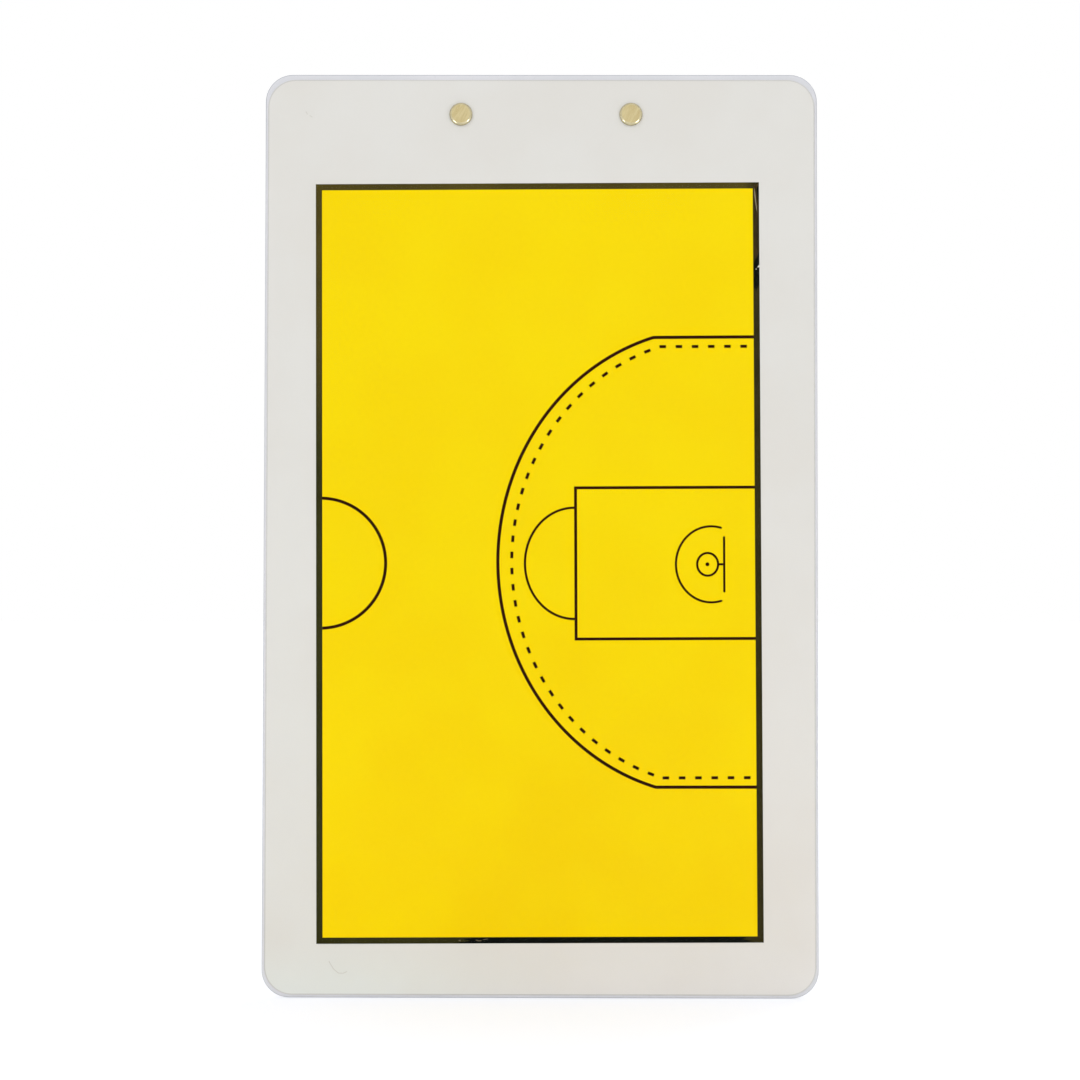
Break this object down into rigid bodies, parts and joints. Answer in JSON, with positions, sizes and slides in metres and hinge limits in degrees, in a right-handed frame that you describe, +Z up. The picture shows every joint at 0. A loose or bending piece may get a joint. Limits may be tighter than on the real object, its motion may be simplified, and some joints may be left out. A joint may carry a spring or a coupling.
{
  "type": "tactics board",
  "caption": "Two-sided coach's tactics board with printed court faces under clear dry-wipe film, and a riveted, sprung lever clip with a hanging hole.",
  "frame": {"origin": "centre of the hanging hole in the clip's thumb tab, half way through the sheet", "axes": "+Z up along the board, +Y from the half-court face towards the clip face, +X to the right seen from the half-court face"},
  "size_m": [0.24, 0.0188, 0.4],
  "materials": {
    "white_core": "satin white rigid plastic",
    "printed_sheet": "off-white printed sheet",
    "clear_film": "clear glossy dry-wipe film",
    "brass": "pale brass, lightly worn",
    "plated_steel": "bright nickel plate",
    "rod_steel": "drawn steel rod with peened heads",
    "spring_steel": "drawn spring wire"
  },
  "bodies": {
    "board": {"core_board": "white_core", "half_court_sheet": "printed_sheet", "full_court_sheet": "printed_sheet", "front_film": "clear_film", "rear_film": "clear_film", "rivet_left": "brass", "rivet_right": "brass", "clip_base_plate": "plated_steel", "hinge_rod": "rod_steel", "torsion_spring": "spring_steel"},
    "lever": {"clip_lever": "plated_steel"}
  },
  "joints": [
    {"name": "clip_hinge", "type": "hinge", "parent": "board", "child": "lever", "pos_m": [0, -0.00857, -0.0174], "axis": [1, 0, 0], "range_deg": [0, 28], "stiffness_Nm_per_rad": 0.5, "springref_deg": -45.84, "deforming": ["torsion_spring"]}
  ]
}
